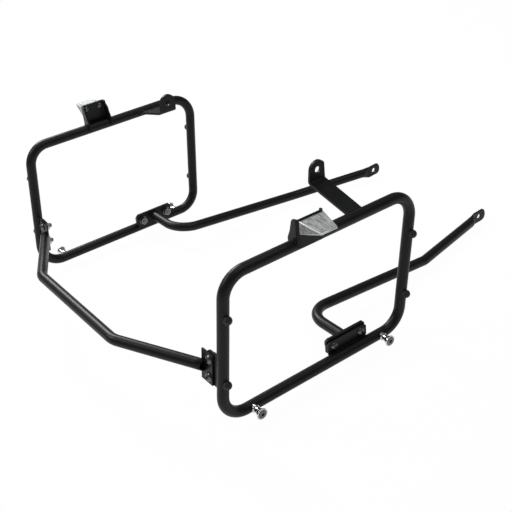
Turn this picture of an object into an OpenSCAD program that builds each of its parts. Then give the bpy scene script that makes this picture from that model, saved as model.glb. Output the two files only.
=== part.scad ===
// Pannier frame: a pair of tube hoops that carry side cases, tied together behind the seat
// by a bent crossbar and braced forward by two struts.
// Millimetres. X points to the rider's right, Y forward, Z up.
// The lower rails run along Y. The origin is under the middle of the whole frame.

/* [Tube] */
// Outer diameter of every tube
tube_d = 18; // [16:0.5:20]
// Wall of every tube
tube_wall = 2; // [1.2:0.1:3]

/* [Hoops] */
// Rail length, from corner to corner of the centre line
hoop_len = 351.7; // [320:0.1:420]
// Height between the centre lines of the two rails
hoop_h = 235.8; // [215:0.1:300]
// Forward lean of the legs, in degrees
hoop_lean = 6.8; // [0:0.1:10]
// Outward lean of each hoop, in degrees
hoop_camber = 1.17; // [0:0.01:3]
// Distance between the centre lines of the two lower rails
hoop_span = 612.5; // [580:0.5:700]
// Bend radius of the hoop corners, on the centre line
hoop_bend_r = 38; // [30:1:45]

/* [Rear crossbar] */
// Length of the straight middle, from bend to bend of the centre line
bar_mid_len = 252.7; // [150:0.1:300]
// How far the middle of the bar lies behind the rear joints
bar_mid_back = 76; // [50:0.5:100]
// How far the centre line of each arm end lies behind the leg
bar_end_back = 4.5; // [3:0.5:8]
// Height of the middle of the bar above the rear joints
bar_mid_rise = 8.5; // [-10:0.5:20]
// Height of the arm ends above the rear joints
bar_end_rise = 1.2; // [-2:0.1:2]
// Bend radius of the bar, on the centre line
bar_bend_r = 40; // [30:1:60]
// How far each arm end reaches across its plate
bar_overlap = 10; // [8:0.5:11]

/* [Rear joints] */
// Height of the joint centre above the centre line of the lower rail
joint_rise = 77.7; // [74:0.5:95]
// Thickness of the lug on the leg and of the crossbar plate
joint_t = 3; // [2:0.5:4]
// How far the joint plane lies behind the centre line of the leg
joint_back = 1; // [0:0.5:2]
// Reach of both joint plates below the joint centre
joint_low = 26.5; // [24:0.5:30]
// Reach of the crossbar plate above the joint centre
plate_high = 24.5; // [23:0.5:30]
// Reach of the leg lug above the joint centre
lug_high = 28; // [24:0.5:34]
// Rounding of the free corners of the leg lug
lug_round = 9; // [2:0.5:10]
// Distance between the two bolts of a joint
joint_pitch = 30; // [28:0.5:31]
// Bolt line, measured inboard from the centre line of the leg
joint_bolt_in = 29.5; // [28:0.5:30]
// Inner edge of the crossbar plate, inboard from the centre line of the leg
joint_plate_in = 49; // [49:0.5:54]
// Outer edge of the crossbar plate, inboard from the centre line of the leg
joint_plate_out = 21; // [14:0.5:21]
// Inner edge of the leg lug, inboard from the centre line of the leg
joint_lug_in = 40; // [38:0.5:46]

/* [Strut joints] */
// Middle of the joint along the lower rail, forward of the hoop middle
foot_y = 58; // [20:0.5:70]
// Length of the joint plates along the rail
foot_len = 80; // [76:0.5:100]
// Lower edge of the joint plates above the centre line of the rail
foot_low = 5; // [4:0.5:6]
// Upper edge of the rail lug above the centre line of the rail
foot_lug_top = 29; // [26:0.5:36]
// Upper edge of the strut plate above the centre line of the rail
foot_plate_top = 33; // [30:0.5:40]
// Corner cut of the joint plates
foot_cut = 4; // [1:0.5:6]
// Thickness of each joint plate
foot_t = 4; // [3:0.5:6]
// Gap between the centre line of the rail and the outer face of the lug
foot_in = 6; // [5:0.5:7]
// Distance between the two bolts of a joint
foot_pitch = 56; // [50:0.5:60]
// Height of the bolts above the centre line of the rail
foot_bolt_rise = 18.7; // [17:0.1:19]

/* [Struts] */
// Height of the strut stub above the centre line of the rail
strut_rise = 19; // [17:0.5:22]
// Length of the stub, from the joint to the corner of the centre line
strut_stub = 94; // [65:0.5:130]
// Half distance between the forward kinks
strut_kink_x = 191; // [170:0.5:210]
// Kink, forward of the hoop middle
strut_kink_y = 343.5; // [250:0.5:400]
// Height of the kinks above the centre line of the rail
strut_kink_rise = -7.3; // [-12:0.1:40]
// Half distance between the eye holes
strut_eye_x = 150; // [120:0.5:180]
// Eye hole, forward of the hoop middle
strut_eye_y = 537; // [470:0.5:620]
// Height of the right eye hole above the centre line of the rail
strut_eye_rise_right = -7; // [-12:0.1:60]
// Height of the left eye hole above the centre line of the rail
strut_eye_rise_left = -2.8; // [-12:0.1:60]
// Bend radius of the struts, on the centre line
strut_bend_r = 45; // [30:1:55]
// Bore of each eye
eye_bore = 10.5; // [8:0.1:12]
// Height of the flat eye
eye_h = 25; // [22:0.5:30]
// Thickness of the flat eye
eye_t = 4; // [3:0.1:6]
// Upward tilt of the flat eye, in degrees
eye_tilt = 4; // [0:0.5:8]
// Eye hole to the free end
eye_edge = 16.5; // [12:0.5:22]
// Eye hole to the fold where the flat begins
eye_fold = 13; // [10:0.5:20]
// Length over which the round tube turns flat
eye_taper = 18; // [12:0.5:26]

/* [Strap brackets] */
// Sheet thickness of the strap brackets
strap_t = 4; // [3:0.5:5]
// Bore of each ear
ear_bore = 10.5; // [8:0.1:12]
// Inner bend radius of the straps
strap_bend_r = 3; // [2:0.5:5]
// Width of the right strap and of its ear
strap_right_w = 30.5; // [26:0.5:36]
// How much narrower the right strap is at its weld
strap_right_waist = 1.5; // [0:0.5:4]
// Middle of the right strap, forward of the hoop middle
strap_right_y = 76.5; // [40:0.1:100]
// Distance from the rail to the ear of the right strap
strap_right_reach = 85; // [60:0.5:110]
// Rise of the right strap, in degrees
strap_right_slope = 15.6; // [5:0.1:20]
// Right ear hole above the centre line of the rail
strap_right_hole = 46.5; // [46:0.5:60]
// Width of the ear of the left strap
strap_left_w = 34; // [30:0.5:38]
// Middle of the left strap, forward of the hoop middle
strap_left_y = 110.5; // [90:0.5:120]
// Distance from the rail to the ear of the left strap
strap_left_reach = 45.5; // [30:0.5:60]
// Left ear hole above the centre line of the rail
strap_left_hole = 19; // [17:0.5:30]
// How far the root of the left strap spreads to the rear
strap_left_flare = 29; // [0:0.5:34]
// Forward lean of the left ear, in degrees
strap_left_lean = 3; // [0:0.5:8]

/* [Case hooks] */
// Sheet thickness of the hook brackets
hook_t = 3; // [2:0.5:4]
// Length of each hook bracket along the rail
hook_len = 49; // [49:0.5:70]
// Middle of the hook bracket, forward of the hoop middle
hook_y = -17; // [-50:0.5:0]
// Top of the hook bracket above the centre line of the rail
hook_high = 45; // [45:0.5:56]
// How far the top edge of the bracket dips between its flanges
hook_dip = 1.5; // [0:0.1:2]
// Outer bend radius of the hook bracket
hook_bend_r = 5; // [4.5:0.5:6]
// Reach of the wedge outboard of its bracket
wedge_reach = 41; // [30:0.5:50]
// Length of the wedge at its bracket
wedge_root = 45; // [42:0.5:47]
// Length of the wedge at its tip
wedge_tip = 29; // [24:0.5:40]
// How far the middle of the tip lies behind the middle of the root
wedge_skew = 1; // [0:0.5:3]
// Height of the wedge at its bracket
wedge_h = 21.5; // [20:0.5:26]
// Height of the lip at the tip of the wedge
wedge_lip = 2.5; // [1.5:0.1:4]
// Slope of the top of the wedge, in degrees
wedge_slope = 9; // [0:0.5:12]
// Wall of the wedge
wedge_wall = 2.5; // [1.5:0.1:3]
// Thickness of the wedge where its screws go in
wedge_back = 5; // [4:0.5:8]
// Distance between the two hook screws
hook_pitch = 28; // [24:0.5:30]
// Height of the hook screws above the centre line of the rail
hook_screw_rise = 34; // [33:0.5:35]

/* [Spools and buttons] */
// Spools, clear of the ends of the lower rail's bends
spool_in = 9; // [8:0.5:30]
// Length of a spool beyond the tube
spool_len = 18; // [14:0.5:26]
// Diameter of the outer flange of a spool
spool_d = 18.5; // [17:0.5:22]
// Diameter of the inner flange of a spool
spool_foot_d = 13; // [12:0.5:15]
// Diameter of the waist of a spool
spool_waist_d = 10; // [9:0.5:11]
// Buttons, clear of the ends of the leg's bends
button_in = 27; // [10:0.5:30]
// Diameter of a button
button_d = 13.2; // [10:0.1:16]
// Height of a button above the tube
button_h = 8.8; // [6:0.1:10]

/* [Fasteners] */
// Thread diameter of the joint bolts
bolt_d = 8; // [6:0.5:8]
// Diameter of the domed bolt heads
bolt_head_d = 14.5; // [13:0.5:15]
// Height of the domed bolt heads
bolt_head_h = 4.6; // [3.5:0.1:6]
// Width of the nuts across the flats
nut_af = 13; // [12:0.5:14]
// Height of the nuts
nut_h = 6.8; // [5:0.1:9]
// Diameter of the washers under the strut nuts
washer_d = 17; // [15:0.5:18]
// Thickness of those washers
washer_t = 1.6; // [1:0.1:2.5]
// Thread diameter of the hook and spool screws
screw_d = 6; // [4:0.5:6]
// Head diameter of the hook screws
screw_head_d = 11; // [9:0.5:12]
// Head height of the hook screws
screw_head_h = 3.3; // [2.5:0.1:4]
// Head diameter of the spool screws
cap_d = 14.5; // [12:0.5:14.5]
// Head height of the spool screws
cap_h = 3; // [2.5:0.1:4]
// Clearance of a bolt or stem in its hole, on the diameter
hole_play = 0.6; // [0.2:0.1:1]
// Clearance of a thread in its nut, on the diameter
thread_play = 0.2; // [0.1:0.1:0.4]

/* [Hidden] */

black = "#242527";
dark_steel = "#1b1c1e";
rubber = "#18181a";
alu = "#b4b6b8";
chrome = "#d9dbdd";
zinc = "#c3c5c4";
facets = 48;
arc_facets = 96;
hull_facets = 32;
far = 60;
lap = 0.1;
lap_angle = 0.5;
press_step = 0.4;

tube_r = tube_d / 2;
bore_r = tube_r - tube_wall;

// Hoop corners, with the lower rail's centre line at z = 0 and the hoop middle at y = 0
lean_shift = hoop_h * tan(hoop_lean);
camber_shift = hoop_h * tan(hoop_camber);
foot_x = hoop_span / 2;
top_x = foot_x + camber_shift;
rear_y = -hoop_len / 2 - lean_shift / 2;
front_y = hoop_len / 2 - lean_shift / 2;
hoop_points = [
    [foot_x, rear_y, 0],
    [foot_x, front_y, 0],
    [top_x, front_y + lean_shift, hoop_h],
    [top_x, rear_y + lean_shift, hoop_h]];

// Vector helpers
function unit(v) = v / norm(v);
function turn_angle(a, b, c) = acos(unit(b - a) * unit(c - b));
function tangent_len(a, b, c, r) = r * tan(turn_angle(a, b, c) / 2);
function aim(v) = [0, acos(v[2] / norm(v)), atan2(v[1], v[0])];
// Angles that lay the x, y and z axes along ex, ey and ez
function lay(ex, ey, ez) = [atan2(ey[2], ez[2]), -asin(ex[2]), atan2(ex[1], ex[0])];

// A round bar from p to q
module rod(p, q, r) {
    translate(p) rotate(aim(q - p)) cylinder(h = norm(q - p), r = r, $fn = facets);
}

// A round bend at b between the straight runs a-b and b-c. It runs a touch into both runs
// and is a hair slimmer, as bent tube is, so that the pieces overlap cleanly.
module elbow(a, b, c, bend_r, r) {
    d = unit(b - a);
    n = unit(cross(d, unit(c - b)));
    inward = cross(n, d);
    centre = b - d * tangent_len(a, b, c, bend_r) + inward * bend_r;
    translate(centre) rotate(lay(-inward, d, n)) rotate([0, 0, -lap_angle])
        rotate_extrude(angle = turn_angle(a, b, c) + 2 * lap_angle, $fn = arc_facets)
            translate([bend_r, 0]) circle(r = r - lap, $fn = facets);
}

// A round bar along an open line of points
module bar_line(pts, bend_r, r) {
    last = len(pts) - 1;
    for (i = [0 : last - 1]) {
        d = unit(pts[i + 1] - pts[i]);
        t0 = i == 0 ? 0 : tangent_len(pts[i - 1], pts[i], pts[i + 1], bend_r);
        t1 = i == last - 1 ? 0 : tangent_len(pts[i], pts[i + 1], pts[i + 2], bend_r);
        rod(pts[i] + d * t0, pts[i + 1] - d * t1, r);
    }
    for (i = [1 : last - 1]) elbow(pts[i - 1], pts[i], pts[i + 1], bend_r, r);
}

// A round bar along a closed line of points
module bar_loop(pts, bend_r, r) {
    n = len(pts);
    for (i = [0 : n - 1]) {
        a = pts[(i + n - 1) % n];
        b = pts[i];
        c = pts[(i + 1) % n];
        e = pts[(i + 2) % n];
        d = unit(c - b);
        rod(b + d * tangent_len(a, b, c, bend_r), c - d * tangent_len(b, c, e, bend_r), r);
        elbow(a, b, c, bend_r, r);
    }
}

// A cylinder along X from x = 0
module along_x(h, r) { rotate([0, 90, 0]) cylinder(h = h, r = r, $fn = facets); }

// A flat outline given in Y and Z, from x to x + t
module sheet_yz(x, t) {
    translate([x, 0, 0]) rotate([90, 0, 90]) linear_extrude(t) children();
}

// A flat outline given in X and Z, from y to y + t
module sheet_xz(y, t) {
    translate([0, y + t, 0]) rotate([90, 0, 0]) linear_extrude(t) children();
}

// A rectangle with its four corners cut off
function cut_box(x0, y0, x1, y1, c) = [
    [x0 + c, y0], [x1 - c, y0], [x1, y0 + c], [x1, y1 - c],
    [x1 - c, y1], [x0 + c, y1], [x0, y1 - c], [x0, y0 + c]];

// A rectangle with four round corners
module round_box(x0, y0, x1, y1, r) {
    translate([x0 + r, y0]) square([x1 - x0 - 2 * r, y1 - y0]);
    translate([x0, y0 + r]) square([x1 - x0, y1 - y0 - 2 * r]);
    for (x = [x0 + r, x1 - r], y = [y0 + r, y1 - r])
        translate([x, y]) circle(r = r, $fn = facets);
}

// Tubes of the hoop, as plain bars to cope against
module low_rail(r) { rod(hoop_points[0], hoop_points[1], r); }
module top_rail(r) { rod(hoop_points[3], hoop_points[2], r); }
module rear_leg(r) { rod(hoop_points[0], hoop_points[3], r); }
module front_leg(r) { rod(hoop_points[1], hoop_points[2], r); }

// Straight lengths lost to a bend at the sharp and at the wide corners
sharp_len = hoop_bend_r * tan((90 + hoop_lean) / 2);
wide_len = hoop_bend_r * tan((90 - hoop_lean) / 2);
leg_dir = unit(hoop_points[3] - hoop_points[0]);
button_rear_low = hoop_points[0] + leg_dir * (sharp_len + button_in);
button_rear_high = hoop_points[3] - leg_dir * (wide_len + button_in);
button_front_low = hoop_points[1] + leg_dir * (wide_len + button_in);
button_front_high = hoop_points[2] - leg_dir * (sharp_len + button_in);
button_spots = [button_rear_low, button_rear_high, button_front_low, button_front_high];
spool_rear = [foot_x, rear_y + sharp_len + spool_in, 0];
spool_front = [foot_x, front_y - wide_len - spool_in, 0];

stem_r = screw_d / 2;
stem_hole_r = stem_r + hole_play / 2;
stem_reach = tube_r - bore_r + 2;

module hoop() {
    difference() {
        bar_loop(hoop_points, hoop_bend_r, tube_r);
        bar_loop(hoop_points, hoop_bend_r, bore_r);
        for (p = concat(button_spots, [spool_rear, spool_front]))
            translate(p) along_x(2 * tube_r, stem_hole_r);
    }
}

// Domed button on a leg, with a stem through the tube wall
module button(spot) {
    dome_h = button_d * 0.42;
    dome_r = (pow(button_d / 2, 2) + pow(dome_h, 2)) / (2 * dome_h);
    difference() {
        translate(spot) rotate([0, 90, 0]) intersection() {
            translate([0, 0, tube_r + button_h - dome_r]) sphere(r = dome_r, $fn = facets);
            cylinder(h = tube_r + button_h, d = button_d, $fn = facets);
        }
        rear_leg(tube_r);
        front_leg(tube_r);
    }
    translate(spot + [tube_r - stem_reach, 0, 0]) along_x(stem_reach + button_h / 2, stem_r);
}

// Spool on the lower rail: foot, waist and a flared outer flange with a recess for the screw
spool_recess = 2;
module spool(spot) {
    spool_x = tube_r + spool_len;
    difference() {
        translate(spot) rotate([0, 90, 0]) rotate_extrude($fn = facets) difference() {
            polygon([
                [stem_hole_r, 0],
                [spool_foot_d / 2, 0],
                [spool_foot_d / 2, tube_r + 2],
                [spool_waist_d / 2, tube_r + 3.5],
                [spool_waist_d / 2, tube_r + spool_len * 0.45],
                [spool_d / 2 - 0.5, spool_x - 2],
                [spool_d / 2, spool_x - 1.5],
                [spool_d / 2, spool_x - 0.5],
                [spool_d / 2 - 0.5, spool_x],
                [stem_hole_r, spool_x]]);
            translate([0, spool_x - spool_recess]) square([cap_d / 2 + 0.3, far]);
        }
        low_rail(tube_r);
    }
}

// Screw that holds a spool, with a flat round head and a hex socket
module spool_screw(spot) {
    seat = tube_r + spool_len - spool_recess;
    translate(spot) rotate([0, 90, 0]) difference() {
        union() {
            translate([0, 0, tube_r - stem_reach])
                cylinder(h = seat - tube_r + stem_reach, r = stem_r, $fn = facets);
            translate([0, 0, seat]) rotate_extrude($fn = facets) polygon([
                [0, 0], [cap_d / 2, 0], [cap_d / 2, cap_h - 0.8], [cap_d / 2 - 0.8, cap_h],
                [0, cap_h]]);
        }
        translate([0, 0, seat + cap_h - 2]) cylinder(h = far, d = 5 / cos(30), $fn = 6);
    }
}

// Bolt along +Z with a domed head below z = 0 and a hex socket
module dome_bolt(d, head_d, head_h, length, socket) {
    rim = 0.8;
    rise = head_h - rim;
    dome_r = (pow(head_d / 2, 2) + rise * rise) / (2 * rise);
    difference() {
        union() {
            cylinder(h = length - 1, d = d, $fn = facets);
            translate([0, 0, length - 1])
                cylinder(h = 1, d1 = d, d2 = d - 1.6, $fn = facets);
            intersection() {
                translate([0, 0, dome_r - head_h]) sphere(r = dome_r, $fn = facets);
                translate([0, 0, -head_h]) cylinder(h = head_h, d = head_d, $fn = facets);
            }
        }
        translate([0, 0, -head_h]) cylinder(h = head_h * 0.6, d = socket / cos(30), $fn = 6);
    }
}

// Hex nut along +Z from z = 0 with chamfered corners
module hex_nut() {
    corner = nut_af / 2 / cos(30);
    chamfer = (corner - nut_af / 2) * 0.7;
    difference() {
        intersection() {
            cylinder(h = nut_h, r = corner, $fn = 6);
            rotate_extrude($fn = facets) polygon([
                [0, 0], [nut_af / 2 + 0.2, 0], [corner + 0.1, chamfer],
                [corner + 0.1, nut_h - chamfer], [nut_af / 2 + 0.2, nut_h], [0, nut_h]]);
        }
        translate([0, 0, -1]) cylinder(h = nut_h + 2, d = bolt_d + thread_play, $fn = facets);
    }
}

// Frame of the rear joint: z runs up the leg, y forward through the plates
joint_spot = hoop_points[0] + leg_dir * (joint_rise / leg_dir[2]);
joint_turn = [-atan(tan(hoop_lean) * cos(hoop_camber)), hoop_camber, 0];
module at_joint() {
    translate(joint_spot) rotate(joint_turn) translate([0, -joint_back, 0]) children();
}
module at_joint_bolts(y) {
    for (s = [-1, 1]) translate([-joint_bolt_in, y, s * joint_pitch / 2])
        rotate([-90, 0, 0]) children();
}
bolt_hole_d = bolt_d + hole_play;

module rear_lug() {
    difference() {
        at_joint() sheet_xz(0, joint_t) {
            round_box(-joint_lug_in, -joint_low, 0, lug_high, lug_round);
            translate([-joint_lug_in / 2, -joint_low])
                square([joint_lug_in / 2, joint_low + lug_high]);
        }
        at_joint() at_joint_bolts(-1) cylinder(h = joint_t + 2, d = bolt_hole_d, $fn = facets);
        rear_leg(tube_r);
    }
}

module crossbar_plate() {
    at_joint() difference() {
        sheet_xz(-joint_t, joint_t) translate([-joint_plate_in, -joint_low])
            square([joint_plate_in - joint_plate_out, joint_low + plate_high]);
        at_joint_bolts(-joint_t - 1) cylinder(h = joint_t + 2, d = bolt_hole_d, $fn = facets);
    }
}

module crossbar_bolts() {
    at_joint() at_joint_bolts(-joint_t)
        dome_bolt(bolt_d, bolt_head_d, bolt_head_h, 2 * joint_t + nut_h + 4.5, 5);
}

module crossbar_nuts() { at_joint() at_joint_bolts(joint_t) hex_nut(); }

// Crossbar: the arms run past the joints and are cut back to the plates
arm_in = joint_plate_in - bar_overlap;
arm_tip = [joint_spot[0] - arm_in, joint_spot[1] - bar_end_back, joint_spot[2] + bar_end_rise];
arm_bend = [bar_mid_len / 2, joint_spot[1] - bar_mid_back, joint_spot[2] + bar_mid_rise];
arm_end = arm_tip + unit(arm_tip - arm_bend) * far;
function flip(p) = [-p[0], p[1], p[2]];
bar_points = [flip(arm_end), flip(arm_bend), arm_bend, arm_end];

module bar_cut() {
    at_joint() translate([-3 * far, -joint_t, -far]) cube([6 * far, 6 * far, 2 * far]);
    at_joint() translate([-arm_in, -3 * far, -far]) cube([6 * far, 6 * far, 2 * far]);
}

module rear_bar() {
    difference() {
        bar_line(bar_points, bar_bend_r, tube_r);
        bar_line(bar_points, bar_bend_r, bore_r);
        bar_cut();
        mirror([1, 0, 0]) bar_cut();
    }
}

// Strut joint: a lug on the rail, the strut's plate inboard of it
foot_lug_x = foot_x - foot_in - foot_t;
foot_plate_x = foot_lug_x - foot_t;
module at_foot_bolts(x) {
    for (s = [-1, 1]) translate([x, foot_y + s * foot_pitch / 2, foot_bolt_rise]) children();
}
module foot_sheet(x, top) {
    difference() {
        sheet_yz(x, foot_t) polygon(cut_box(
            foot_y - foot_len / 2, foot_low, foot_y + foot_len / 2, top, foot_cut));
        at_foot_bolts(x - 1) along_x(foot_t + 2, bolt_hole_d / 2);
    }
}

module foot_lug() {
    difference() {
        foot_sheet(foot_lug_x, foot_lug_top);
        low_rail(tube_r);
    }
}

module strut_plate() { foot_sheet(foot_plate_x, foot_plate_top); }

module strut_bolts() {
    at_foot_bolts(foot_lug_x + foot_t) rotate([0, -90, 0])
        dome_bolt(bolt_d, bolt_head_d, bolt_head_h, 2 * foot_t + washer_t + nut_h + 1.5, 5);
}

module strut_nuts() {
    at_foot_bolts(foot_plate_x) rotate([0, -90, 0]) {
        translate([0, 0, washer_t]) hex_nut();
        difference() {
            cylinder(h = washer_t, d = washer_d, $fn = facets);
            translate([0, 0, -1])
                cylinder(h = washer_t + 2, d = bolt_d + thread_play, $fn = facets);
        }
    }
}

// Strut: stub, long run, kink and a flat eye pressed in the tube's end
function strut_points(eye_rise) = [
    [foot_plate_x, foot_y, strut_rise],
    [foot_plate_x - strut_stub, foot_y, strut_rise],
    [strut_kink_x, strut_kink_y, strut_kink_rise],
    [strut_eye_x, strut_eye_y, eye_rise]];

module strut(eye_rise) {
    pts = strut_points(eye_rise);
    eye = pts[3];
    run = unit(eye - pts[2]);
    round_end = eye - run * ((eye_fold + eye_taper) / run[1]);
    tube_pts = [pts[0], pts[1], pts[2], round_end];
    nose_r = eye_h * 0.35;
    difference() {
        union() {
            bar_line(tube_pts, strut_bend_r, tube_r);
            hull() {
                translate(round_end) rotate(aim(run)) translate([0, 0, -0.5])
                    cylinder(h = 0.5, r = tube_r - press_step, $fn = hull_facets);
                translate(eye) rotate([eye_tilt, 0, 0])
                    translate([press_step - eye_t / 2, -eye_fold, press_step - eye_h / 2])
                        cube([eye_t - 2 * press_step, 0.5, eye_h - 2 * press_step]);
            }
            translate(eye) rotate([eye_tilt, 0, 0]) sheet_yz(-eye_t / 2, eye_t) {
                translate([-eye_fold, -eye_h / 2]) square([eye_fold, eye_h]);
                round_box(-eye_fold, -eye_h / 2, eye_edge, eye_h / 2, nose_r);
            }
        }
        bar_line(tube_pts, strut_bend_r, bore_r);
        translate(eye - [far / 2, 0, 0]) along_x(far, eye_bore / 2);
    }
}

// Section of a strap in X (inboard) and Z from the rail centre: a run, a bend and an ear
module strap_section(start, lower, reach, slope, ear_len) {
    turn = 90 - slope;
    upper = lower + strap_t;
    fold_x = (reach + upper * sin(slope)) / cos(slope);
    run = fold_x - start - strap_bend_r * tan(turn / 2);
    outer_r = strap_bend_r + strap_t;
    rotate(slope) translate([start, lower]) {
        square([run, strap_t]);
        translate([run, outer_r]) {
            intersection() {
                difference() {
                    circle(r = outer_r - lap, $fn = arc_facets);
                    circle(r = strap_bend_r + lap, $fn = arc_facets);
                }
                polygon([[0, 0],
                    2 * outer_r * [-sin(lap_angle), -cos(lap_angle)],
                    2 * outer_r * [sin(turn + lap_angle), -cos(turn + lap_angle)]]);
            }
            rotate(turn) translate([0, -outer_r]) square([ear_len, strap_t]);
        }
    }
}

// Outline of a strap in Y and Z: a band with a round, leaning ear
module strap_outline(y, low, fold, hole, width, lean) {
    half = width / 2;
    translate([y - half - far, low]) square([width + far, fold - low]);
    translate([y + (hole - fold) * tan(lean), hole]) rotate(-lean) {
        circle(r = half, $fn = arc_facets);
        translate([-half, fold - hole - 3]) square([width, hole - fold + 3]);
    }
}

module strap(y, start, lower, reach, slope, fold, hole, flare, width, lean) {
    ear_y = y + (hole - fold) * tan(lean);
    y0 = y - width / 2;
    difference() {
        intersection() {
            translate([top_x, 0, hoop_h]) mirror([1, 0, 0]) sheet_xz(y0 - far, 3 * far)
                strap_section(start, lower, reach, slope, 2 * width);
            translate([0, 0, hoop_h]) sheet_yz(top_x - reach - far, reach + 2 * far)
                strap_outline(y, lower - far, fold, hole, width, lean);
            translate([0, 0, hoop_h - far]) linear_extrude(3 * far) polygon([
                [top_x - reach - far, y0], [top_x - reach, y0], [top_x - start, y0 - flare],
                [top_x - start, y0 + width], [top_x - reach - far, y0 + width]]);
        }
        top_rail(tube_r);
        translate([top_x - reach - far / 2, ear_y, hoop_h + hole]) along_x(far, ear_bore / 2);
    }
}

// Both straps start inside the rail, a little above its centre line
strap_start = 2;
strap_right_lower = 5.8 - strap_t;
strap_left_lower = 2.4 - strap_t;
strap_right_fold = ((strap_right_lower + strap_t)
    + strap_right_reach * sin(strap_right_slope)) / cos(strap_right_slope);
strap_left_fold = strap_left_lower + strap_t;

module long_strap() {
    strap(strap_right_y, strap_start, strap_right_lower, strap_right_reach, strap_right_slope,
        strap_right_fold, strap_right_hole, -strap_right_waist, strap_right_w, hoop_lean);
}

module short_strap() {
    strap(strap_left_y, strap_start, strap_left_lower, strap_left_reach, 0,
        strap_left_fold, strap_left_hole, strap_left_flare, strap_left_w, strap_left_lean);
}

// Case hook: a folded bracket on the top rail and an aluminium wedge screwed to it
hook_x = top_x + tube_r;
hook_face = hook_x + hook_t;
hook_low = -2;
flange_foot = [-12, -36];
flange_waist = [-6.2, -23.5];
flange_neck = [-1.5, -7];
flange_shoulder = [1, -3.4];
flange_crown = [4.5, -2.6];
front_flange_in = 4;
module hook_fold() {
    y0 = hook_y - hook_len / 2;
    y1 = hook_y + hook_len / 2;
    difference() {
        round_box(hook_x - far, y0, hook_face, y1, hook_bend_r);
        round_box(hook_x - 2 * far, y0 + hook_t, hook_x, y1 - hook_t, hook_bend_r - hook_t);
    }
}

module at_hook_screws(x) {
    for (s = [-1, 1]) translate([x, hook_y + s * hook_pitch / 2, hoop_h + hook_screw_rise])
        rotate([0, 90, 0]) children();
}

dip_len = hook_len - 2 * hook_bend_r;
module hook_bracket() {
    difference() {
        intersection() {
            translate([0, 0, hoop_h - far]) linear_extrude(3 * far) hook_fold();
            translate([top_x, 0, hoop_h]) sheet_xz(hook_y - hook_len, 2 * hook_len) polygon([
                [flange_foot[0], hook_low],
                flange_foot + [0, hook_high],
                flange_waist + [0, hook_high],
                flange_neck + [0, hook_high],
                flange_shoulder + [0, hook_high],
                flange_crown + [0, hook_high],
                [tube_r + hook_t, hook_high - hook_dip],
                [tube_r + hook_t, hook_low]]);
        }
        translate([hook_x - 1, hook_y - dip_len / 2, hoop_h + hook_high - hook_dip])
            cube([hook_t + 2, dip_len, far]);
        translate([top_x, 0, hoop_h]) sheet_xz(hook_y, far) polygon([
            [-far, hook_high], [front_flange_in, hook_high],
            [front_flange_in, hook_high + flange_neck[1]], [-far, hook_high - far]]);
        top_rail(tube_r);
        at_hook_screws(hook_x - 1)
            cylinder(h = hook_t + 2, d = screw_d + hole_play, $fn = facets);
    }
}

wedge_drop = 3.3;
wedge_top = hook_high - wedge_drop;
wedge_end = wedge_top - wedge_reach * tan(wedge_slope);
wedge_mid = hook_y + 0.5;
module wedge_side(drop) {
    polygon([
        [0, wedge_top - wedge_h - far * (drop > 0 ? 1 : 0)],
        [0, wedge_top - drop],
        [wedge_reach, wedge_end - drop],
        [wedge_reach, wedge_end - wedge_lip - far * (drop > 0 ? 1 : 0)]]);
}
module wedge_plan(inset) {
    polygon([
        [0, -wedge_root / 2 + inset],
        [wedge_reach, -wedge_tip / 2 - wedge_skew + inset],
        [wedge_reach, wedge_tip / 2 - wedge_skew - inset],
        [0, wedge_root / 2 - inset]]);
}

module hook_wedge() {
    bore = screw_d + thread_play;
    difference() {
        translate([hook_face, wedge_mid, hoop_h]) difference() {
            intersection() {
                sheet_xz(-wedge_root, 2 * wedge_root) wedge_side(0);
                linear_extrude(2 * far) wedge_plan(0);
            }
            intersection() {
                sheet_xz(-wedge_root, 2 * wedge_root) wedge_side(wedge_wall);
                translate([0, 0, -far]) linear_extrude(3 * far) wedge_plan(wedge_wall);
                translate([wedge_back, -wedge_root, -far])
                    cube([wedge_reach - wedge_back - wedge_wall, 2 * wedge_root, 3 * far]);
            }
        }
        at_hook_screws(hook_face - 1) cylinder(h = wedge_back + 2, d = bore, $fn = facets);
    }
}

module hook_screws() {
    at_hook_screws(hook_x)
        dome_bolt(screw_d, screw_head_d, screw_head_h, hook_t + wedge_back - 0.5, 4);
}

// The whole frame is moved so that the origin lies under its middle
rear_reach = arm_bend[1] - tube_r;
front_reach = strut_eye_y + eye_edge * cos(eye_tilt);
eye_drop = eye_fold * sin(eye_tilt) + eye_h / 2 * cos(eye_tilt);
lowest = min(-tube_r, strut_kink_rise - tube_r,
    min(strut_eye_rise_right, strut_eye_rise_left) - eye_drop);
module right() { translate([0, -(rear_reach + front_reach) / 2, -lowest]) children(); }
module left() { mirror([1, 0, 0]) right() children(); }

module hoop_right() { color(black) right() hoop(); }
module hoop_left() { color(black) left() hoop(); }
module rear_lug_right() { color(black) right() rear_lug(); }
module rear_lug_left() { color(black) left() rear_lug(); }
module foot_lug_right() { color(black) right() foot_lug(); }
module foot_lug_left() { color(black) left() foot_lug(); }
module strap_bracket_right() { color(black) right() long_strap(); }
module strap_bracket_left() { color(black) left() short_strap(); }
module hook_bracket_right() { color(black) right() hook_bracket(); }
module hook_bracket_left() { color(black) left() hook_bracket(); }
module hook_wedge_right() { color(alu) right() hook_wedge(); }
module hook_wedge_left() { color(alu) left() hook_wedge(); }
module hook_screws_right() { color(dark_steel) right() hook_screws(); }
module hook_screws_left() { color(dark_steel) left() hook_screws(); }
module rear_crossbar() { color(black) right() rear_bar(); }
module crossbar_plate_right() { color(black) right() crossbar_plate(); }
module crossbar_plate_left() { color(black) left() crossbar_plate(); }
module crossbar_bolts_right() { color(dark_steel) right() crossbar_bolts(); }
module crossbar_bolts_left() { color(dark_steel) left() crossbar_bolts(); }
module crossbar_nuts_right() { color(zinc) right() crossbar_nuts(); }
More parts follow.
